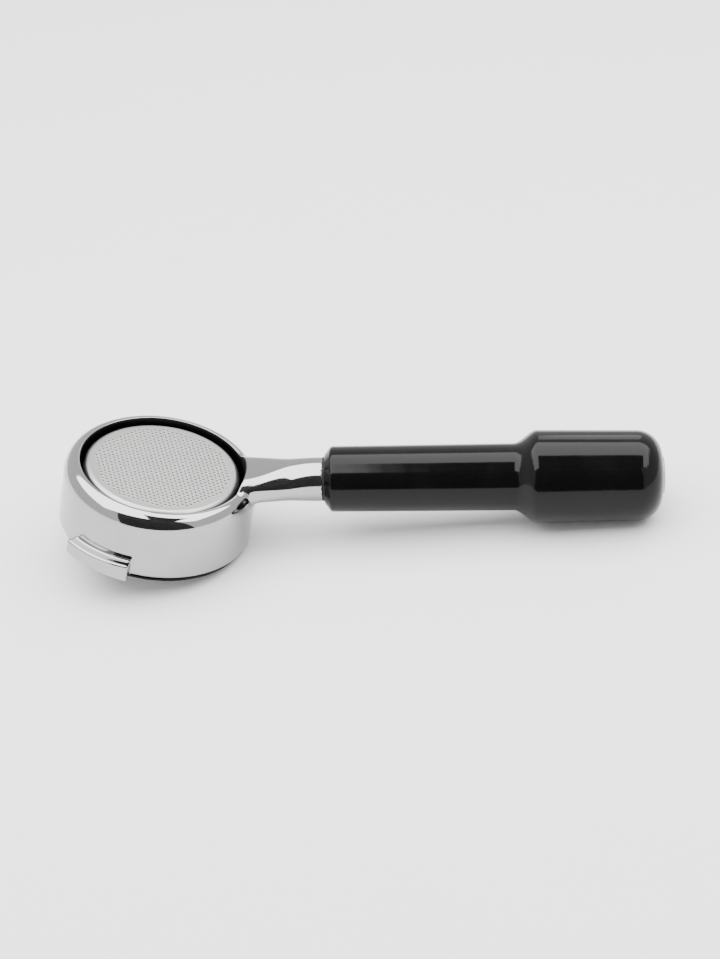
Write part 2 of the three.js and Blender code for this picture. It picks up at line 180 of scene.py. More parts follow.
class PortafilterColours(bpy.types.PropertyGroup):
    """Base colours of the finishes."""

    chrome: colour("Chrome", "Plate on the casting", 0.36, 0.361, 0.369)
    steel: colour("Steel", "Basket", 0.4, 0.397, 0.39)
    wire: colour("Wire", "Spring and washers", 0.42, 0.43, 0.44)
    phenolic: colour("Phenolic", "Grip", 0.0018, 0.0018, 0.002)
    rubber: colour("Rubber", "Gasket", 0.012, 0.012, 0.012)
    cap: colour("Cap", "Plug in the back of the grip", 0.42, 0.4, 0.37)
    floor: colour("Floor", "Table top", 0.7, 0.7, 0.7)


class PortafilterStage(bpy.types.PropertyGroup):
    """The camera is given in the holder's own frame, the lights in the table's."""

    azimuth: angle("Azimuth", "Camera direction round the cup's axis", -5.62)
    elevation: angle("Elevation", "Camera direction above the gasket face", 33.99)
    roll: angle("Roll", "Turn of the camera about its own axis", 11.05)
    distance: length("Distance", "From the camera to its target", 1000.0)
    target: FloatVectorProperty(
        name="Target", description="Point that the camera looks at",
        default=(0.07487, 0.0268, 0.015), subtype="TRANSLATION", unit="LENGTH",
    )
    lens: FloatProperty(name="Lens", description="Focal length in mm", default=98.9)
    softbox_power: FloatProperty(
        name="Softbox power", description="Overhead light", default=60.0, subtype="POWER"
    )
    panel_power: FloatProperty(
        name="Panel power", description="Light behind the object", default=1.1, subtype="POWER"
    )
    world_strength: FloatProperty(
        name="Room light", description="Brightness of the surroundings", default=1.3
    )


GROUPS = {
    "portafilter_holder": PortafilterHolderSizes,
    "portafilter_basket": PortafilterBasketSizes,
    "portafilter_handle": PortafilterHandleSizes,
    "portafilter_colours": PortafilterColours,
    "portafilter_stage": PortafilterStage,
}


# Frames


def axes_matrix(x, y, z, origin):
    """The matrix whose columns are three axes and an origin."""
    matrix = Matrix((x, y, z)).transposed().to_4x4()
    matrix.translation = origin
    return matrix


def holder_frame():
    """Matrix from the holder's own frame to the row's: Z is the basket's turning axis, X points to
    the grip, and the origin is where that axis meets the plane of the gasket face."""
    joint = next(j for j in frame["joints"] if j["name"] == "basket_spin")
    mount = next(m for m in frame["record"]["mounts"] if m["name"] == "gasket_face")
    up = Vector(joint["axis"]).normalized()
    on_axis = Vector(joint["pos_m"])
    foot = on_axis + up * (Vector(mount["pos_m"]) - on_axis).dot(up)
    side = Vector((0, 1, 0))
    return axes_matrix(side.cross(up), side, up, foot)


def handle_frame(sizes):
    """The same for the handle: Z runs along the grip, from the cup's axis."""
    lift = Matrix.Translation((0, 0, sizes.rise))
    return holder_frame() @ lift @ Matrix.Rotation(math.pi / 2 - sizes.slope, 4, "Y")


# Mesh helpers


def linked(name, data):
    """A new object in the scene, showing the data."""
    made = bpy.data.objects.new(name, data)
    bpy.context.scene.collection.objects.link(made)
    return made


def fill_mesh(mesh, points, faces):
    """Write points and four-cornered faces into an empty mesh. A triangle is a face with one corner
    given twice."""
    distinct = faces != np.roll(faces, 1, 1)
    sides = distinct.sum(1)
    corners = faces[distinct]
    mesh.vertices.add(len(points))
    mesh.vertices.foreach_set("co", points.astype(np.float32).ravel())
    mesh.loops.add(len(corners))
    mesh.loops.foreach_set("vertex_index", corners.astype(np.int32))
    mesh.polygons.add(len(sides))
    mesh.polygons.foreach_set("loop_start", (np.cumsum(sides) - sides).astype(np.int32))
    mesh.update(calc_edges=True)


def add_piece(name, surface, matrix, finish, body, slot, *replaced):
    """One object from a surface (points, faces, normals), with its place in its mesh."""
    points, faces, normals = surface
    turn = np.array(matrix.to_3x3())
    mesh = bpy.data.meshes.new(name)
    fill_mesh(mesh, points @ turn.T + np.array(matrix.translation), faces)
    mesh.shade_smooth()
    mesh.normals_split_custom_set_from_vertices((normals @ turn.T).tolist())
    mesh.materials.append(finish)
    piece = linked(name, mesh)
    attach(piece, body)
    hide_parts(*replaced)


def joined(*surfaces):
    """Several surfaces as one, without welding them."""
    points, faces, normals = zip(*surfaces)
    offsets = np.cumsum([0] + [len(part) for part in points])
    moved = [part + offset for part, offset in zip(faces, offsets)]
    return np.concatenate(points), np.concatenate(moved), np.concatenate(normals)


ARC_STEPS = 6               # straight stretches in each corner's arc
NEAR_ZERO = 1e-6            # turns, radii and lengths under this count as none


def rounded(corners):
    """Outline through the corners (x, y, radius), each cut off by an arc of its radius. The arc
    starts at radius * tan(turn / 2) from the corner and turns evenly from one side's direction to
    the next. Returns the points and the unit tangents at them."""
    corner = np.array([c[:2] for c in corners], float)
    radius = np.array([c[2] for c in corners], float)
    points, tangents = [], []
    for i in range(len(corner)):
        before = corner[i] - corner[i - 1] if i else corner[1] - corner[0]
        after = corner[i + 1] - corner[i] if i + 1 < len(corner) else before
        start = math.atan2(before[1], before[0])
        turn = (math.atan2(after[1], after[0]) - start + math.pi) % (2 * math.pi) - math.pi
        if i in (0, len(corner) - 1) or abs(turn) < NEAR_ZERO:
            directions = np.array([start])
            places = corner[i][None]
        elif radius[i] == 0:
            directions = np.array([start, start + turn])
            places = np.repeat(corner[i][None], 2, 0)
        else:
            sweep = np.linspace(0, 1, ARC_STEPS + 1)
            directions = start + turn * sweep
            cut = radius[i] * math.tan(abs(turn) / 2)
            begin = corner[i] - cut * before / np.linalg.norm(before)
            side = math.copysign(radius[i], turn)
            centre = begin + side * np.array([-math.sin(start), math.cos(start)])
            places = centre + side * np.stack([np.sin(directions), -np.cos(directions)], 1)
        points.append(places)
        tangents.append(np.stack([np.cos(directions), np.sin(directions)], 1))
    return np.concatenate(points), np.concatenate(tangents)


def revolved(outline, angles, closed=False):
    """A (radius, height) outline turned about Z through the given angles. The outline runs so that
    the outside is on its right, and an outline that ends on the axis closes at a pole there."""
    profile, tangent = outline
    count, rings = len(angles), len(profile)
    cos, sin = np.cos(angles)[None], np.sin(angles)[None]
    radius, height = profile[:, 0:1], profile[:, 1:2]
    points = np.stack([radius * cos, radius * sin, height + 0 * cos], 2)
    out, up = tangent[:, 1:2], -tangent[:, 0:1]
    normals = np.stack([out * cos, out * sin, up + 0 * cos], 2)
    index = np.arange(rings * count).reshape(rings, count)
    for pole in (0, rings - 1):
        if radius[pole, 0] < NEAR_ZERO and not closed:
            index[pole] = index[pole, 0]
    low = index if closed else index[:-1]
    high = np.roll(index, -1, 0) if closed else index[1:]
    quads = np.stack([low, np.roll(low, -1, 1), np.roll(high, -1, 1), high], 2).reshape(-1, 4)
    return tidy(points.reshape(-1, 3), quads, normals.reshape(-1, 3))


def tidy(points, faces, normals):
    """Faces with at least three different corners, and only the points that they use."""
    faces = faces[(faces != np.roll(faces, 1, 1)).sum(1) > 2]
    used, faces = np.unique(faces, return_inverse=True)
    return points[used], faces.reshape(-1, 4), normals[used]


def full_turn(count):
    """Angles spread evenly round a circle."""
    return np.arange(count) * (2 * math.pi / count)


# The casting


TINY = 1e-4                 # keeps a quotient finite on an axis
NECK_EDGE = 0.5 * MM        # reach of the soft edge round the neck's end
MOUTH_SLOPE = 0.4 * MM      # height over which the bore changes at the lip
GROOVE_SLOPE = 0.2 * MM     # the same at the groove's sides, either way
SPIGOT_EDGE = 0.8 * MM      # reach of the soft edge round the spigot's end
SPIGOT_BURIED = 3.0 * MM    # how far back inside the neck the spigot starts
LATTICE_INSIDE = 1.2 * MM   # how far the lattice goes past the casting, in and out
LATTICE_OUTSIDE = 1.5 * MM
LATTICE_ABOVE = 16.0 * MM   # height of the spigot over the cup, with a margin
STEPS_BELOW = 1.7           # lattice steps under the rim


def smooth_min(a, b, reach):
    """The lower of two distances, rounded where they differ by less than reach."""
    overlap = np.maximum(reach - np.abs(a - b), 0) / reach
    return np.minimum(a, b) - overlap**3 * reach / 6


def smooth_max(a, b, reach):
    """The higher of two distances, rounded likewise."""
    return -smooth_min(-a, -b, reach)


def smooth_step(x, low, high):
    """3t^2 - 2t^3, where t goes from 0 at low to 1 at high."""
    t = np.clip((x - low) / (high - low), 0, 1)
    return t * t * (3 - 2 * t)


def cup_distance(radius, z, s):
    """An endless post whose upper edge is a quarter ellipse and whose rim is bevelled by a cone.
    Past the ellipse's centre the distance is the ellipse's own value over the length of its
    gradient, and elsewhere it is to the wall or the lip."""
    out = radius - (s.cup_radius - s.shoulder_width)
    up = z - (s.cup_top - s.shoulder_height)
    u = np.maximum(out, 0) / s.shoulder_width
    v = np.maximum(up, 0) / s.shoulder_height
    value = np.maximum(np.hypot(u, v), NEAR_ZERO)
    slope = np.maximum(np.hypot(u / s.shoulder_width, v / s.shoulder_height) / value, 1.0)
    inside = np.maximum(out - s.shoulder_width, up - s.shoulder_height)
    post = np.where(value > NEAR_ZERO, (value - 1) / slope, inside)
    bevel = (radius - z) - (s.cup_radius - s.rim_height - s.rim_chamfer)
    return smooth_max(post, bevel / math.sqrt(2), s.rim_rounding)


def lug_distance(radius, turn, z, s):
    """Both lugs at once, because they repeat every half turn: a box in (arc, radius, height) with
    rounded edges, whose top rises along the arc."""
    middle = (s.cup_radius + s.lug_radius) / 2
    arc = ((turn - s.lug_centre + math.pi / 2) % math.pi - math.pi / 2) * middle
    top = s.lug_top + arc * math.tan(s.lug_slope)
    along = np.abs(arc) - (s.lug_arc / 2 * middle - s.lug_edge)
    out = radius - (s.lug_radius - s.lug_edge)
    up = z - (top - s.lug_edge)
    nearest = np.maximum(np.maximum(along, out), up)
    outside = np.sqrt(
        np.maximum(along, 0) ** 2 + np.maximum(out, 0) ** 2 + np.maximum(up, 0) ** 2
    )
    return outside + np.minimum(nearest, 0) - s.lug_edge


def handle_axes(x, z, handle):
    """Distance along the handle's axis, and height above it."""
    cos, sin = math.cos(handle.slope), math.sin(handle.slope)
    return x * cos + (z - handle.rise) * sin, -x * sin + (z - handle.rise) * cos


def neck_distance(x, y, z, s, handle):
    """A bar along the handle whose section is a superellipse, round at the grip and wide and flat
    at the cup. The distance is the section's own value over the length of its gradient."""
    along, above = handle_axes(x, z, handle)
    spread = smooth_step(along, s.neck_spread_start, s.neck_spread_end)
    width = s.neck_root_width + (s.neck_radius - s.neck_root_width) * spread
    height = s.neck_root_height + (s.neck_radius - s.neck_root_height) * spread
    ellipse = smooth_step(along, s.neck_flat_start, s.neck_flat_end)
    power = s.neck_root_power + (2 - s.neck_root_power) * ellipse
    u = np.maximum(np.abs(y) / width, TINY)
    v = np.maximum(np.abs(above) / height, TINY)
    value = (u**power + v**power) ** (1 / power)
    slope = np.hypot((u / value) ** (power - 1) / width, (v / value) ** (power - 1) / height)
    side = (value - 1) / slope
    return np.maximum(smooth_max(side, along - s.neck_end, NECK_EDGE), s.neck_start - x)


def casting_distance(points, s, handle):
    """Signed distance to the casting, from the holder's frame: cup, lugs and neck melt together,
    then the rim, the bore with its groove, and the tapped hole are cut."""
    x, y, z = points[..., 0], points[..., 1], points[..., 2]
    radius, turn = np.hypot(x, y), np.arctan2(y, x)
    body = smooth_min(cup_distance(radius, z, s), lug_distance(radius, turn, z, s), s.lug_fillet)
    body = smooth_min(body, neck_distance(x, y, z, s, handle), s.neck_fillet)
    body = smooth_max(body, s.rim_height - z, s.rim_rounding)
    mouth = s.cup_top - s.mouth_depth
    narrow = smooth_step(z, mouth, mouth + MOUTH_SLOPE)
    in_groove = s.groove_width / 2 - np.abs(z - s.groove_height)
    deep = smooth_step(in_groove, -GROOVE_SLOPE, GROOVE_SLOPE)
    wall = s.bore_radius + (s.mouth_radius - s.bore_radius) * narrow
    wall = wall + (s.groove_radius - s.bore_radius) * deep
    body = smooth_max(body, wall - radius, s.mouth_rounding)
    along, above = handle_axes(x, z, handle)
    off = np.hypot(y, above)
    spigot = smooth_max(off - s.spigot_radius, along - s.spigot_end, SPIGOT_EDGE)
    body = np.minimum(body, np.maximum(spigot, s.neck_end - SPIGOT_BURIED - along))
    tapped = np.maximum(off - s.tapped_radius, s.tapped_start - along)
    return np.maximum(body, -tapped)


def level_surface(distance, radii, angles, heights, slides=6, least_slope=0.5):
    """Closed mesh of the surface where distance is 0, on a lattice of cylinder coordinates.

    Each lattice cell that the surface crosses holds one point, the mean of the crossings on its
    twelve edges, and each crossed edge joins the points of the four cells round it in a quad. The
    points then slide down the distance's gradient until they lie on the surface, and that gradient
    is their normal. A slope under the least counts as the least."""
    r, t, h = np.meshgrid(radii, angles, heights, indexing="ij")
    lattice = np.stack([r * np.cos(t), r * np.sin(t), h], 3)
    value = distance(lattice)
    shape = value.shape
    cells = (shape[0] - 1, shape[1], shape[2] - 1)
    total, crossings = np.zeros(cells + (3,)), np.zeros(cells, int)
    crop = tuple(slice(0, n) for n in cells)
    corners = ((0, 0), (1, 0), (1, 1), (0, 1))
    quads = []
    index = np.arange(np.prod(cells)).reshape(cells)
    for axis in range(3):
        ahead = np.roll(value, -1, axis)
        crossed = (value < 0) != (ahead < 0)
        if axis != 1:
            crossed[(slice(None),) * axis + (-1,)] = False
        share = np.where(crossed, value / np.where(crossed, value - ahead, 1), 0)[..., None]
        place = lattice + share * (np.roll(lattice, -1, axis) - lattice)
        place[~crossed] = 0
        first, second = [a for a in range(3) if a != axis]
        where = np.argwhere(crossed)
        around = []
        for a, b in corners:
            total += np.roll(place, (-a, -b), (first, second))[crop]
            crossings += np.roll(crossed, (-a, -b), (first, second))[crop]
            cell = where.copy()
            cell[:, first] -= a
            cell[:, second] -= b
            cell[:, 1] %= cells[1]
            around.append(index[tuple(cell.T)])
        quad = np.stack(around, 1)
        inward = value[tuple(where.T)] > 0
        flip = inward if axis != 1 else ~inward
        quad[flip] = quad[flip][:, ::-1]
        quads.append(quad)
    quads = np.concatenate(quads)
    used = np.unique(quads)
    renumber = np.zeros(index.size, int)
    renumber[used] = np.arange(len(used))
    points = total.reshape(-1, 3)[used] / crossings.reshape(-1)[used, None]
    for _ in range(slides):
        away, slope = gradient(distance, points)
        points = points - slope * (away / np.maximum((slope**2).sum(1), least_slope**2))[:, None]
    _, slope = gradient(distance, points)
    normals = slope / np.linalg.norm(slope, axis=1)[:, None]
    return points, renumber[quads], normals


def gradient(distance, points, step=0.02 * MM):
    """The distance at each point and its gradient, from differences a small step either way."""
    slope = np.empty_like(points)
    for axis in range(3):
        offset = np.zeros(3)
        offset[axis] = step
        slope[:, axis] = (distance(points + offset) - distance(points - offset)) / (2 * step)
    return distance(points), slope


def casting_surface(s, handle):
    """The casting's surface, on a lattice that reaches a little past it on every side."""
    step = s.mesh_step
    radii = np.arange(s.mouth_radius - LATTICE_INSIDE, s.spigot_end + LATTICE_OUTSIDE, step)
    angles = full_turn(int(2 * math.pi * s.cup_radius / step))
    heights = np.arange(s.rim_height - STEPS_BELOW * step, s.cup_top + LATTICE_ABOVE, step)
    return level_surface(lambda p: casting_distance(p, s, handle), radii, angles, heights)


# The basket and its spring


SCREEN_MARGIN = 0.8 * MM    # plain ring round the hole field, before the corner
HOLE_SIDES = 12
HOLE_LIP = 0.04 * MM        # how far the burr's inner foot is outside the hole
HOLE_DROP = 0.1 * MM        # depth at which the hole's wall is straight
BASKET_SIDES = 192
DOME_RINGS = 7
SPRING_RINGS = 241
WIRE_SIDES = 16


def hole_centres(s):
    """A hexagonal lattice of hole centres inside the perforated circle."""
    reach = int(s.hole_field / s.hole_pitch) + 2
    row, place = np.meshgrid(np.arange(-reach, reach + 1), np.arange(-reach, reach + 1))
    x = (place + row / 2).ravel() * s.hole_pitch
    y = row.ravel() * s.hole_pitch * math.sqrt(3) / 2
    inside = np.hypot(x, y) < s.hole_field
    cos, sin = math.cos(s.hole_turn), math.sin(s.hole_turn)
    return np.stack([x * cos - y * sin, x * sin + y * cos], 1)[inside]


def sheet_with_holes(border, rings):
    """Triangles of a flat sheet between its border and the rings cut out of it, counterclockwise.
    Indices count the border's points first and then every ring's."""
    flat = np.concatenate([border, rings.reshape(-1, 2)])
    count, sides = len(border), rings.shape[1]
    edge = np.arange(count)
    edges = [np.stack([edge, np.roll(edge, -1)], 1)]
    cell = count + np.arange(rings.shape[0] * sides).reshape(-1, sides)
    edges.append(np.stack([cell, np.roll(cell, -1, 1)], 2).reshape(-1, 2))
    edges = np.concatenate(edges).tolist()
    result = delaunay_2d_cdt((flat / MM).tolist(), edges, [], 0, NEAR_ZERO)
    source = np.array(result[3])[:, 0]
    triangles = source[np.array(result[2])]
    ring = (triangles - count) // sides
    in_hole = (triangles[:, 0] >= count) & (ring[:, 0] == ring[:, 1]) & (ring[:, 1] == ring[:, 2])
    triangles = triangles[~in_hole]
    a, b, c = (flat[triangles[:, k]] for k in range(3))
    area = (b[:, 0] - a[:, 0]) * (c[:, 1] - a[:, 1]) - (b[:, 1] - a[:, 1]) * (c[:, 0] - a[:, 0])
    triangles[area < 0] = triangles[area < 0][:, ::-1]
    return triangles


def screen_surface(s, border_radius, angles):
    """The perforated floor: two flat sheets, and for each hole a low burr and a wall down through
    the steel. A burr rises from its foot to a crest and falls into the hole: levels holds a ring's
    radius and height from the foot down, and tilt its normal's outward and upward parts."""
    centres = hole_centres(s)
    turn = full_turn(HOLE_SIDES)
    circle = np.stack([np.cos(turn), np.sin(turn)], 1)
    top, bottom = s.height, s.height - s.sheet
    crest = (s.hole_radius + s.burr_radius) / 2
    levels = np.array([
        [s.burr_radius, top],
        [(s.burr_radius + crest) / 2, top + 0.6 * s.burr_height],
        [crest, top + s.burr_height],
        [s.hole_radius + HOLE_LIP, top + 0.5 * s.burr_height],
        [s.hole_radius, top - HOLE_DROP],
        [s.hole_radius, bottom],
    ])
    tilt = np.array([[0, 1], [0.35, 0.94], [0, 1], [-0.8, 0.6], [-1, 0], [0, -1]])
    ring = centres[None, :, None] + levels[:, 0][:, None, None, None] * circle
    height = np.broadcast_to(levels[:, 1][:, None, None, None], ring.shape[:3] + (1,))
    ring_points = np.concatenate([ring, height], 3)
    out = np.broadcast_to(circle, ring.shape) * tilt[:, 0][:, None, None, None]
    up = np.broadcast_to(tilt[:, 1][:, None, None, None], ring.shape[:3] + (1,))
    ring_normals = np.concatenate([out, up], 3)
    border = border_radius * np.stack([np.cos(angles), np.sin(angles)], 1)
    count, per_level = len(border), len(centres) * HOLE_SIDES
    index = 2 * count + np.arange(ring_points[..., 0].size).reshape(ring.shape[:3])
    outer, inner = index[:-1], index[1:]
    bands = np.stack([outer, np.roll(outer, -1, 2), np.roll(inner, -1, 2), inner], 3)
    upper = sheet_with_holes(border, ring[0])
    lower = sheet_with_holes(border, ring[-1])[:, ::-1]
    upper = np.where(upper < count, upper, upper + count)
    lower = np.where(lower < count, lower + count, lower + count + (len(levels) - 1) * per_level)
    one = np.ones((count, 1))
    points = np.concatenate([
        np.hstack([border, top * one]),
        np.hstack([border, bottom * one]),
        ring_points.reshape(-1, 3),
    ])
    normals = np.concatenate([
        np.hstack([0 * border, one]), np.hstack([0 * border, -one]), ring_normals.reshape(-1, 3)
    ])
    triangles = np.concatenate([upper, lower])
    faces = np.concatenate([bands.reshape(-1, 4), triangles[:, [0, 1, 2, 2]]])
    return points, faces, normals / np.linalg.norm(normals, axis=1)[:, None]


def welded(points, faces, normals):
    """Points at the same place made one."""
    _, first, back = np.unique(
        np.round(points / MM, 6), axis=0, return_index=True, return_inverse=True
    )
    return points[first], back.reshape(-1)[faces], normals[first]


def basket_surface(s, groove_height):
    """The wall, its waist, the corner and the flange are one outline turned about the axis. The
    screen closes it at the floor."""
    border = s.hole_field + SCREEN_MARGIN
    inner = s.corner - s.sheet
    waist, mouth = s.mouth_radius - s.bead_depth, s.mouth_radius
    half_waist, flare, soft, edge = 0.8 * MM, 1.0 * MM, 1.2 * MM, 0.3 * MM
    low, high = groove_height - half_waist, groove_height + half_waist
    outline = rounded([
        (border, s.height - s.sheet, 0),
        (s.floor_radius - s.sheet, s.height - s.sheet, inner),
        (mouth - s.sheet, high + flare, soft),
        (waist - s.sheet, high, soft),
        (waist - s.sheet, low, soft),
        (mouth - s.sheet, low - flare, soft),
        (mouth - s.sheet, 0, 0.7 * MM),
        (s.flange_radius, 0, edge),
        (s.flange_radius, s.flange_thickness, edge),
        (mouth, s.flange_thickness, 0.5 * MM),
        (mouth, low - flare, soft),
        (waist, low, soft),
        (waist, high, soft),
        (mouth, high + flare, soft),
        (s.floor_radius, s.height, s.corner),
        (border, s.height, 0),
    ])
    angles = full_turn(BASKET_SIDES)
    wall = revolved(outline, angles)
    return welded(*joined(wall, screen_surface(s, border, angles)))


def spring_surface(s, groove_height):
    """A wire swept round an arc, with domed ends: near an end the section's radius and its place
    follow a quarter circle."""
    dome = np.linspace(0, math.pi / 2, DOME_RINGS)
    half = s.spring_arc / 2
    middle = np.linspace(-half, half, SPRING_RINGS)[1:-1]
    lead = s.spring_wire * np.cos(dome) / s.spring_radius
    along = np.concatenate([-half - lead, middle, half + lead[::-1]]) + math.pi
    thick = s.spring_wire * np.concatenate([np.sin(dome), np.ones(len(middle)), np.sin(dome)[::-1]])
    slope = np.concatenate([-np.cos(dome), np.zeros(len(middle)), np.cos(dome)[::-1]])
    turn = full_turn(WIRE_SIDES)
    out = np.stack([np.cos(along), np.sin(along), 0 * along], 1)[:, None]
    ahead = np.stack([-np.sin(along), np.cos(along), 0 * along], 1)[:, None]
    up = np.array([0, 0, 1.0])
    section = np.cos(turn)[None, :, None] * out + np.sin(turn)[None, :, None] * up
    points = s.spring_radius * out + thick[:, None, None] * section + groove_height * up
    swell = np.sqrt(1 - slope**2)[:, None, None]
    normals = swell * section + slope[:, None, None] * ahead
    rings, count = points.shape[:2]
    index = np.arange(rings * count).reshape(rings, count)
    index[0], index[-1] = index[0, 0], index[-1, 0]
    low, high = index[:-1], index[1:]
    quads = np.stack([low, high, np.roll(high, -1, 1), np.roll(low, -1, 1)], 2).reshape(-1, 4)
    return tidy(points.reshape(-1, 3), quads, normals.reshape(-1, 3))


# The handle


GRIP_SIDES = 144
RING_SIDES = 96
SWELL_POINTS = 25
TAIL_POINTS = 22


def swell_outline(s):
    """The grip's swell: radius follows 3t^2 - 2t^3 from the slim end to the thick start."""
    t = np.linspace(0, 1, SWELL_POINTS)[1:-1]
    radius = s.slim_end_radius + (s.thick_radius - s.slim_end_radius) * t * t * (3 - 2 * t)
    along = s.slim_end + (s.thick_start - s.slim_end) * t
    return np.stack([radius, along, np.full_like(t, 0.8 * MM)], 1).tolist()


def tail_outline(s):
    """The grip's back rounding: a quarter ellipse from the tail to the flat round the cap."""
    t = np.linspace(0, math.pi / 2, TAIL_POINTS)[1:-1]
    radius = s.back_radius + (s.tail_radius - s.back_radius) * np.cos(t)
    along = s.tail + (s.end - s.tail) * np.sin(t)
    return np.stack([radius, along, np.full_like(t, 0.6 * MM)], 1).tolist()


def grip_surface(s):
    """The grip's outside and its bored inside, one closed outline turned about the handle. Each
    corner is a radius, a place along the handle and a rounding."""
    small = 0.25 * MM
    corners = [
        (s.socket_radius, s.start, small),
        (s.face_radius, s.start, 0.8 * MM),
        (s.slim_start_radius, s.start + s.nose, 1.6 * MM),
        (s.slim_end_radius, s.slim_end, 6 * MM),
        *swell_outline(s),
        (s.thick_radius, s.thick_start, 4 * MM),
        (s.tail_radius, s.tail, 4 * MM),
        *tail_outline(s),
        (s.back_radius, s.end, 0.6 * MM),
        (s.counterbore, s.end, 0.2 * MM),
        (s.counterbore, s.counterbore_start, small),
        (s.bolt_hole, s.counterbore_start, small),
        (s.bolt_hole, s.socket_end, small),
        (s.socket_radius, s.socket_end, small),
    ]
    return revolved(closed_outline(corners), full_turn(GRIP_SIDES), closed=True)


def closed_outline(corners):
    """The rounded outline of a loop: the corners are wrapped round by two, and one turn is kept."""
    profile, tangent = rounded(corners[-1:] + corners + corners[:2])
    head, tail = 1, ARC_STEPS + 2
    return profile[head:-tail], tangent[head:-tail]


def gasket_surface(s):
    """A flat ring whose four edges are rounded."""
    edge = 0.2 * MM
    inside = s.spigot_gap
    return revolved(closed_outline([
        (inside, s.gasket_start, edge),
        (s.gasket_radius, s.gasket_start, edge),
        (s.gasket_radius, s.gasket_end, edge),
        (inside, s.gasket_end, edge),
    ]), full_turn(RING_SIDES), closed=True)


def cap_surface(s):
    """A plug with a wider head, whose outer edge is rounded and whose face is slightly dished."""
    top = s.end + s.cap_proud
    under = top - s.cap_head
    point = under - s.cap_plug_length
    rim, slope, dish, edge, soft = 1.4 * MM, 0.6 * MM, 0.25 * MM, 0.3 * MM, 0.6 * MM
    return revolved(rounded([
        (0, point, 0),
        (s.cap_plug, point, 0.8 * MM),
        (s.cap_plug, under, edge),
        (s.cap_radius, under, edge),
        (s.cap_radius, top, 0.5 * MM),
        (s.cap_radius - rim, top, soft),
        (s.cap_radius - rim - slope, top - dish, soft),
        (0, top - dish, 0),
    ]), full_turn(RING_SIDES))


# Materials


def maths(operation, reflected=False):
    """A method that joins a value and another value or number in a Math node."""

    def method(self, other):
        first, second = (other, self) if reflected else (self, other)
        return self.graph.node("ShaderNodeMath", {"operation": operation}, {0: first, 1: second})

    return method


class Value:
    """A node's output that can be used in sums."""

    def __init__(self, graph, socket):
        self.graph, self.socket = graph, socket

    __add__, __radd__ = maths("ADD"), maths("ADD", True)
    __sub__, __rsub__ = maths("SUBTRACT"), maths("SUBTRACT", True)
    __mul__, __rmul__ = maths("MULTIPLY"), maths("MULTIPLY", True)
    __truediv__, __rtruediv__ = maths("DIVIDE"), maths("DIVIDE", True)
    __pow__, __rpow__ = maths("POWER"), maths("POWER", True)


class Graph:
    """A material's nodes, with one Principled shader whose constants go on its own sockets."""

    def __init__(self, name, **constants):
        self.material = bpy.data.materials.new(name)
        self.material.use_nodes = True
        self.tree = self.material.node_tree
        self.tree.nodes.clear()
        self.shader = self.tree.nodes.new("ShaderNodeBsdfPrincipled")
        output = self.tree.nodes.new("ShaderNodeOutputMaterial")
        self.tree.links.new(self.shader.outputs[0], output.inputs["Surface"])
        for socket, value in constants.items():
            self.set(socket.replace("_", " "), value)

    def set(self, socket, value):
        self._feed(self.shader.inputs[socket], value)

    def _feed(self, socket, value):
        if isinstance(value, Value):
            self.tree.links.new(value.socket, socket)
        elif socket.type == "RGBA" and len(value) == 3:
            socket.default_value = (*value, 1.0)
        else:
            socket.default_value = value

    def node(self, kind, settings=None, inputs=None, output=0):
        """Any node: its settings first, then its inputs by name or number."""
        made = self.tree.nodes.new(kind)
        for name, value in (settings or {}).items():
            setattr(made, name, value)
        for key, value in (inputs or {}).items():
            self._feed(made.inputs[key], value)
        return Value(self, made.outputs[output])

    def place(self):
        return self.node("ShaderNodeTexCoord", output="Object")

    def vector(self, operation, first, second, output=0):
        return self.node("ShaderNodeVectorMath", {"operation": operation}, {0: first, 1: second},
                         output)

    def noise(self, vector, size, detail=3.0, roughness=0.5):
        """Noise between 0 and 1 with features of the given size in metres."""
        return self.node("ShaderNodeTexNoise", None, {
            "Vector": vector, "Scale": 1 / size, "Detail": detail, "Roughness": roughness,
        })

    def spread(self, value, low, high, to_low=0.0, to_high=1.0):
        """The value mapped from one range to another, and held at the ends."""
        return self.node("ShaderNodeMapRange", {"clamp": True}, {
            "Value": value, "From Min": low, "From Max": high, "To Min": to_low, "To Max": to_high,
        })

    def mix(self, factor, first, second):
        """One colour blended into another. The numbers are the Mix node's colour sockets."""
        sockets = {0: factor, 6: first, 7: second}
        return self.node("ShaderNodeMix", {"data_type": "RGBA"}, sockets, 2)

    def bump(self, height, distance, strength=1.0):
        self.set("Normal", self.node("ShaderNodeBump", None, {
            "Strength": strength, "Distance": distance, "Height": height,
        }))

    def round_axis(self, matrix):
        """Distance from a frame's Z axis, and height along it."""
        origin, axis = tuple(matrix.translation), tuple(matrix.to_3x3().col[2])
        away = self.vector("SUBTRACT", self.place(), origin)
        height = self.vector("DOT_PRODUCT", away, axis, "Value")
        lifted = self.node(
            "ShaderNodeVectorMath", {"operation": "SCALE"}, {0: axis, "Scale": height}
        )
        out = self.vector("SUBTRACT", away, lifted)
        radius = self.node("ShaderNodeVectorMath", {"operation": "LENGTH"}, {0: out}, "Value")
        return radius, height


def scaled(rgb, factor):
    """A colour made lighter or darker."""
    return tuple(min(channel * factor, 1.0) for channel in rgb)


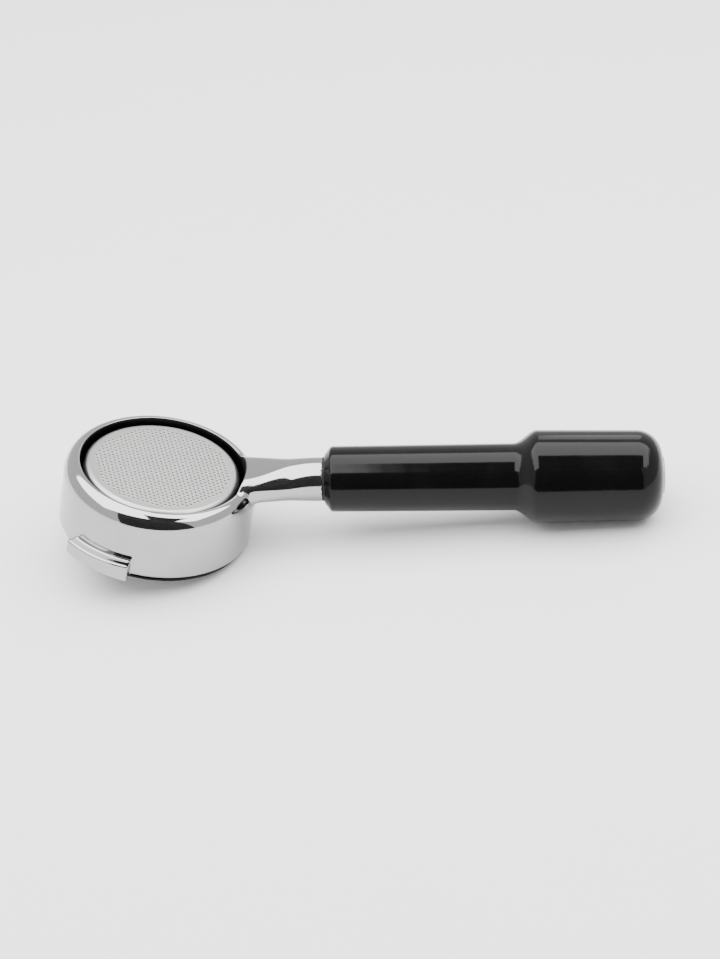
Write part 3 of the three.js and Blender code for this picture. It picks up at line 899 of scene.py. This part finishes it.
def chrome_finish(colours, matrix, bore_radius):
    """Plate: polishing lines too fine to see one by one, faint water marks, and a soft ripple. The
    bore is darkened with painted shade, for the shaded gap round the basket."""
    g = Graph("chrome_plate", Metallic=1.0)
    place = g.place()
    marks = g.noise(place, 9 * MM, 4.0, 0.6)
    film = g.spread(marks, 0.45, 0.7)
    radius, _ = g.round_axis(matrix)
    # Painted shade: inside the bore the plate's colour is darkened, for the shaded gap round the basket.
    bore = g.spread(radius, bore_radius + 0.15 * MM, bore_radius + 0.4 * MM, 1.0, 0.0)
    plate = g.mix(film, tuple(colours.chrome), scaled(colours.chrome, 0.95))
    g.set("Base Color", g.mix(bore, plate, scaled(colours.chrome, 0.06)))
    hairlines = g.noise(g.vector("MULTIPLY", place, (1.0, 1.0, 9.0)), 0.35 * MM, 2.0)
    g.set("Roughness", 0.045 + film * 0.03 + hairlines * 0.03 + bore * 0.3)
    ripple = g.noise(place, 7 * MM, 1.0)
    g.bump(ripple + hairlines * 0.006, 0.015 * MM)
    return g.material


def basket_finish(colours, matrix, flange_radius):
    """Satin sheet: lines turned round the axis, a blotchy rolled grain, duller patches, and painted
    shade on the flange's edge, where it lies under the rim against the table."""
    g = Graph("basket_steel", Metallic=1.0)
    radius, height = g.round_axis(matrix)
    place = g.place()
    lines = g.node("ShaderNodeTexNoise", {"noise_dimensions": "1D"}, {
        "W": radius + height, "Scale": 1 / (0.12 * MM), "Detail": 2.0,
    })
    grain = g.noise(place, 0.3 * MM, 3.0, 0.6)
    patches = g.spread(g.noise(place, 6 * MM, 3.0), 0.4, 0.65)
    # Painted shade: the flange's outer edge is darkened, for the shade under the rim next to the table.
    edge = g.spread(radius, flange_radius - 1.1 * MM, flange_radius - 0.5 * MM)
    bright = g.mix(patches, tuple(colours.steel), scaled(colours.steel, 0.93))
    g.set("Base Color", g.mix(edge, bright, scaled(colours.steel, 0.05)))
    g.set("Roughness", 0.3 + patches * 0.06 + grain * 0.08 + edge * 0.2)
    g.bump(lines * 0.6 + grain, 0.004 * MM)
    return g.material


def wire_finish(name, colours):
    """Bright drawn steel: fine lines and a little staining."""
    g = Graph(name, Metallic=1.0)
    place = g.place()
    stain = g.spread(g.noise(place, 2.2 * MM, 3.0), 0.42, 0.62)
    drawn = g.noise(g.vector("MULTIPLY", place, (1.0, 1.0, 6.0)), 0.25 * MM, 3.0)
    g.set("Base Color", g.mix(stain, tuple(colours.wire), scaled(colours.wire, 0.82)))
    g.set("Roughness", 0.24 + stain * 0.12 + drawn * 0.08)
    g.bump(drawn, 0.006 * MM)
    return g.material


def zinc_finish(colours):
    """Zinc plate: spangled crystals and a dull blue-grey skin."""
    g = Graph("zinc_steel", Metallic=1.0)
    place = g.place()
    spangle = g.node("ShaderNodeTexVoronoi", None, {"Vector": place, "Scale": 1 / (0.9 * MM)})
    skin = g.noise(place, 0.4 * MM, 4.0, 0.6)
    g.set("Base Color", g.mix(spangle, scaled(colours.wire, 1.1), scaled(colours.wire, 0.8)))
    g.set("Roughness", 0.34 + spangle * 0.12 + skin * 0.08)
    g.bump(skin, 0.01 * MM)
    return g.material


def phenolic_finish(colours):
    """Polished moulding: a very slight waviness, fine dust-sized pits and dull handling marks."""
    g = Graph("black_phenolic", IOR=1.27)
    place = g.place()
    handling = g.spread(g.noise(place, 14 * MM, 4.0, 0.6), 0.45, 0.7)
    speck = g.noise(place, 0.25 * MM, 2.0)
    wave = g.noise(place, 10 * MM, 1.0)
    g.set("Base Color", g.mix(handling, tuple(colours.phenolic), scaled(colours.phenolic, 1.5)))
    g.set("Roughness", 0.09 + handling * 0.04 + speck * 0.02)
    g.bump(wave + speck * 0.03, 0.05 * MM)
    return g.material


def rubber_finish(colours):
    """Matt rubber with a grained skin and a little bloom."""
    g = Graph("black_rubber")
    place = g.place()
    grain = g.noise(place, 0.18 * MM, 4.0, 0.7)
    bloom = g.spread(g.noise(place, 2 * MM, 3.0), 0.45, 0.7)
    g.set("Base Color", g.mix(bloom, tuple(colours.rubber), scaled(colours.rubber, 2.2)))
    g.set("Roughness", 0.62 + grain * 0.2)
    g.bump(grain, 0.03 * MM)
    return g.material


def cap_finish(colours, matrix):
    """Warm grey plug: fine turning rings and a satin grain."""
    g = Graph("grey_cap", Metallic=0.2)
    radius, _ = g.round_axis(matrix)
    rings = g.node("ShaderNodeTexNoise", {"noise_dimensions": "1D"}, {
        "W": radius, "Scale": 1 / (0.15 * MM), "Detail": 2.0,
    })
    grain = g.noise(g.place(), 0.2 * MM, 4.0, 0.6)
    g.set("Base Color", g.mix(grain, tuple(colours.cap), scaled(colours.cap, 0.85)))
    g.set("Roughness", 0.4 + grain * 0.12)
    g.bump(rings + grain * 0.5, 0.008 * MM)
    return g.material


def floor_finish(colours):
    """A pale matt surface with a barely visible mottle."""
    g = Graph("pale_floor", Roughness=0.9)
    mottle = g.noise(g.place(), 40 * MM, 3.0)
    g.set("Base Color", g.mix(mottle, tuple(colours.floor), scaled(colours.floor, 1.02)))
    return g.material


# Operators


class PORTAFILTER_OT_holder_casting(bpy.types.Operator):
    """The plated casting, polygonised from its signed distance: cup, lugs and neck melt together,
    and the bore, the spring's groove and the tapped hole are cut out."""

    bl_idname = "portafilter.holder_casting"
    bl_label = "Holder casting"

    def execute(self, context):
        scene = context.scene
        sizes = scene.portafilter_holder
        surface = casting_surface(sizes, scene.portafilter_handle)
        finish = chrome_finish(scene.portafilter_colours, holder_frame(), sizes.bore_radius)
        add_piece("holder_casting", surface, holder_frame(), finish, "holder", "chrome_plate",
                  "holder_body")
        return {"FINISHED"}


class PORTAFILTER_OT_filter_basket(bpy.types.Operator):
    """The sheet-steel basket: an outline turned about the cup's axis, and a flat floor with a
    hexagonal lattice of small burred holes right through it."""

    bl_idname = "portafilter.filter_basket"
    bl_label = "Filter basket"

    def execute(self, context):
        scene = context.scene
        sizes = scene.portafilter_basket
        surface = basket_surface(sizes, scene.portafilter_holder.groove_height)
        finish = basket_finish(scene.portafilter_colours, holder_frame(), sizes.flange_radius)
        add_piece("perforated_basket", surface, holder_frame(), finish, "basket", "basket_steel",
                  "filter_basket")
        return {"FINISHED"}


class PORTAFILTER_OT_basket_spring(bpy.types.Operator):
    """The retaining spring: a circle swept along an arc of the groove, domed at both ends."""

    bl_idname = "portafilter.basket_spring"
    bl_label = "Basket spring"

    def execute(self, context):
        scene = context.scene
        surface = spring_surface(scene.portafilter_basket, scene.portafilter_holder.groove_height)
        finish = wire_finish("spring_steel", scene.portafilter_colours)
        add_piece("retaining_spring", surface, holder_frame(), finish, "spring", "spring_steel",
                  "basket_spring")
        return {"FINISHED"}


class PORTAFILTER_OT_grip(bpy.types.Operator):
    """The grip: a closed outline turned about the handle's axis, with a slim part, a smooth swell,
    a thick part and an elliptical back."""

    bl_idname = "portafilter.grip"
    bl_label = "Grip"

    def execute(self, context):
        scene = context.scene
        sizes = scene.portafilter_handle
        finish = phenolic_finish(scene.portafilter_colours)
        add_piece("grip_moulding", grip_surface(sizes), handle_frame(sizes), finish, "holder",
                  "black_phenolic", "handle_grip")
        return {"FINISHED"}


class PORTAFILTER_OT_neck_gasket(bpy.types.Operator):
    """The thin gasket ring between the neck and the grip, turned from a rounded rectangle."""

    bl_idname = "portafilter.neck_gasket"
    bl_label = "Neck gasket"

    def execute(self, context):
        scene = context.scene
        sizes = scene.portafilter_handle
        finish = rubber_finish(scene.portafilter_colours)
        add_piece("gasket_ring", gasket_surface(sizes), handle_frame(sizes), finish, "holder",
                  "black_rubber", "neck_gasket")
        return {"FINISHED"}


class PORTAFILTER_OT_end_cap(bpy.types.Operator):
    """The plug in the back of the grip, turned from an outline with a dished face."""

    bl_idname = "portafilter.end_cap"
    bl_label = "End cap"

    def execute(self, context):
        scene = context.scene
        sizes = scene.portafilter_handle
        finish = cap_finish(scene.portafilter_colours, handle_frame(sizes))
        add_piece("cap_plug", cap_surface(sizes), handle_frame(sizes), finish, "holder",
                  "grey_cap", "end_cap")
        return {"FINISHED"}


class PORTAFILTER_OT_fasteners(bpy.types.Operator):
    """Finishes for the bolt and its washers, whose shapes stay as they are."""

    bl_idname = "portafilter.fasteners"
    bl_label = "Fasteners"

    def execute(self, context):
        colours = context.scene.portafilter_colours
        zinc = zinc_finish(colours)
        spring = wire_finish("lock_steel", colours)
        finishes = {"tie_bolt": zinc, "flat_washer": zinc, "lock_washer": spring}
        for name, finish in finishes.items():
            materials = frame["nodes"][name].data.materials
            materials.clear()
            materials.append(finish)
        return {"FINISHED"}


# The table's cards and lights in metres: middle, tilt about X, width and depth.
UPRIGHT = math.pi / 2
FLOOR = (0, 0, 0), 0, 6.0, 6.0
DARK_CARD = (-0.04, -0.34, 0.235), UPRIGHT, 0.58, 0.47
CEILING_CARD = (0.29, -0.38, 0.94), 0, 0.5, 0.64
SOFTBOX = (0, 0.02, 0.95), 0, 2.2, 1.35
BACK_PANEL = (0.29, 1.0, 0.68), -UPRIGHT, 0.24, 0.5


class PORTAFILTER_OT_stage(bpy.types.Operator):
    """The pale floor, the soft lights overhead and behind, two dark cards that only reflections
    show, and the camera."""

    bl_idname = "portafilter.stage"
    bl_label = "Stage"

    def execute(self, context):
        scene = context.scene
        colours, settings = scene.portafilter_colours, scene.portafilter_stage
        floor = flat_card("floor", floor_finish(colours), *FLOOR)
        dark = Graph("dark_card", Base_Color=(0.01, 0.01, 0.011), Roughness=1.0).material
        cards = [
            flat_card("dark_card", dark, *DARK_CARD),
            flat_card("ceiling_card", dark, *CEILING_CARD),
        ]
        for card in cards:
            for ray in ("camera", "diffuse", "shadow", "transmission", "volume_scatter"):
                setattr(card, "visible_" + ray, False)
        self.softbox("softbox", settings.softbox_power, *SOFTBOX)
        self.softbox("back_panel", settings.panel_power, *BACK_PANEL)
        self.surroundings(scene)
        self.camera(scene, settings)
        return {"FINISHED"}

    def softbox(self, name, power, middle, tilt, width, depth):
        """A rectangular light that shines down until it is tilted."""
        light = bpy.data.lights.new(name, "AREA")
        light.shape = "RECTANGLE"
        light.size, light.size_y = width, depth
        light.energy = power
        linked(name, light).matrix_world = tilted(middle, tilt)

    def surroundings(self, scene):
        """Even light from all round."""
        world = bpy.data.worlds.new("pale_room")
        scene.world = world
        world.use_nodes = True
        background = world.node_tree.nodes["Background"]
        background.inputs["Color"].default_value = (1.0, 1.0, 1.0, 1.0)
        background.inputs["Strength"].default_value = scene.portafilter_stage.world_strength

    def camera(self, scene, s):
        """A camera looking at its target from a direction in the holder's frame, then rolled."""
        back = Vector((
            math.sin(s.azimuth) * math.cos(s.elevation),
            -math.cos(s.azimuth) * math.cos(s.elevation),
            math.sin(s.elevation),
        ))
        level = (-back).cross(Vector((0, 0, 1))).normalized()
        upright = level.cross(-back)
        right = math.cos(s.roll) * level + math.sin(s.roll) * upright
        up = math.cos(s.roll) * upright - math.sin(s.roll) * level
        place = axes_matrix(right, up, back, Vector(s.target) + back * s.distance)
        data = bpy.data.cameras.new("camera")
        data.lens = s.lens
        data.clip_start, data.clip_end = 0.05, 20
        scene.camera = linked("camera", data)
        scene.camera.matrix_world = holder_frame() @ place


def tilted(middle, tilt):
    """A frame at a place on the table, tilted about X."""
    return Matrix.Translation(middle) @ Matrix.Rotation(tilt, 4, "X")


def flat_card(name, finish, middle, tilt, width, depth):
    """A rectangle, level until it is tilted, whose place is in its mesh."""
    matrix = tilted(middle, tilt)
    x, y = np.array([-1, 1, 1, -1]) * width / 2, np.array([-1, -1, 1, 1]) * depth / 2
    corners = np.stack([x, y, 0 * x], 1) @ np.array(matrix.to_3x3()).T
    mesh = bpy.data.meshes.new(name)
    fill_mesh(mesh, corners + np.array(matrix.translation), np.arange(4)[None])
    mesh.materials.append(finish)
    return linked(name, mesh)


OPERATORS = (
    PORTAFILTER_OT_holder_casting,
    PORTAFILTER_OT_filter_basket,
    PORTAFILTER_OT_basket_spring,
    PORTAFILTER_OT_grip,
    PORTAFILTER_OT_neck_gasket,
    PORTAFILTER_OT_end_cap,
    PORTAFILTER_OT_fasteners,
    PORTAFILTER_OT_stage,
)


class PORTAFILTER_PT_build(bpy.types.Panel):
    """Lists the portafilter's pieces in the order that they are built."""

    bl_idname = "PORTAFILTER_PT_build"
    bl_label = "Portafilter"
    bl_space_type = "VIEW_3D"
    bl_region_type = "UI"
    bl_category = "Portafilter"

    def draw(self, context):
        for operator in OPERATORS:
            self.layout.operator(operator.bl_idname)
        for group in GROUPS:
            settings = getattr(context.scene, group)
            box = self.layout.box()
            for name in settings.bl_rna.properties.keys():
                if name not in ("rna_type", "name"):
                    box.prop(settings, name)


def register():
    for group in GROUPS.values():
        bpy.utils.register_class(group)
    for name, group in GROUPS.items():
        setattr(bpy.types.Scene, name, PointerProperty(type=group))
    for operator in OPERATORS:
        bpy.utils.register_class(operator)
    bpy.utils.register_class(PORTAFILTER_PT_build)


def unregister():
    bpy.utils.unregister_class(PORTAFILTER_PT_build)
    for operator in reversed(OPERATORS):
        bpy.utils.unregister_class(operator)
    for name, group in GROUPS.items():
        delattr(bpy.types.Scene, name)
        bpy.utils.unregister_class(group)


def main():
    register()
    bpy.ops.portafilter.holder_casting()
    bpy.ops.portafilter.filter_basket()
    bpy.ops.portafilter.basket_spring()
    bpy.ops.portafilter.grip()
    bpy.ops.portafilter.neck_gasket()
    bpy.ops.portafilter.end_cap()
    bpy.ops.portafilter.fasteners()
    bpy.ops.portafilter.stage()


if __name__ == "__main__":
    main()
